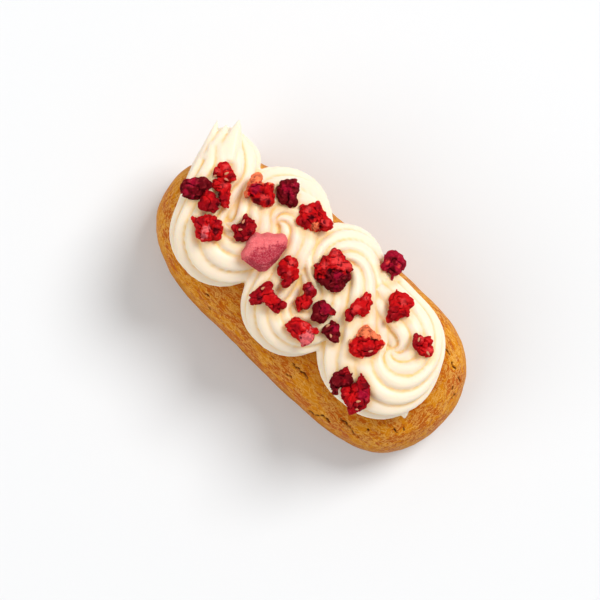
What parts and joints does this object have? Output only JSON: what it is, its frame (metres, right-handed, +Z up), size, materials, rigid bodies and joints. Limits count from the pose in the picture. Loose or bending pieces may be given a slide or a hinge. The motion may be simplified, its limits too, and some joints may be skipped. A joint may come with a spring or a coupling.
{
  "type": "mini eclair",
  "caption": "Small oval choux bun topped with one winding star-piped rope of vanilla cream and scattered freeze-dried raspberry pieces.",
  "frame": {"origin": "middle of the bun's length and width, on its flat underside", "axes": "+X along the bun towards its fatter end, where the rope of cream starts; +Z up"},
  "size_m": [0.0859, 0.0417, 0.0392],
  "materials": {
    "choux": "satin baked crust, golden brown with paler sides",
    "cream": "smooth, soft sheen, ivory",
    "raspberry": "dry, crumbly, matt crimson"
  },
  "bodies": {
    "root": {"choux_bun": "choux", "cream_rope": "cream", "raspberry_1": "raspberry", "raspberry_2": "raspberry", "raspberry_3": "raspberry", "raspberry_4": "raspberry", "raspberry_5": "raspberry", "raspberry_6": "raspberry", "raspberry_7": "raspberry", "raspberry_8": "raspberry", "raspberry_9": "raspberry", "raspberry_10": "raspberry", "raspberry_11": "raspberry", "raspberry_12": "raspberry", "raspberry_13": "raspberry", "raspberry_14": "raspberry", "raspberry_15": "raspberry", "raspberry_16": "raspberry", "raspberry_17": "raspberry", "raspberry_18": "raspberry", "raspberry_19": "raspberry", "raspberry_20": "raspberry", "raspberry_21": "raspberry", "raspberry_22": "raspberry", "raspberry_23": "raspberry", "raspberry_24": "raspberry"}
  },
  "joints": []
}
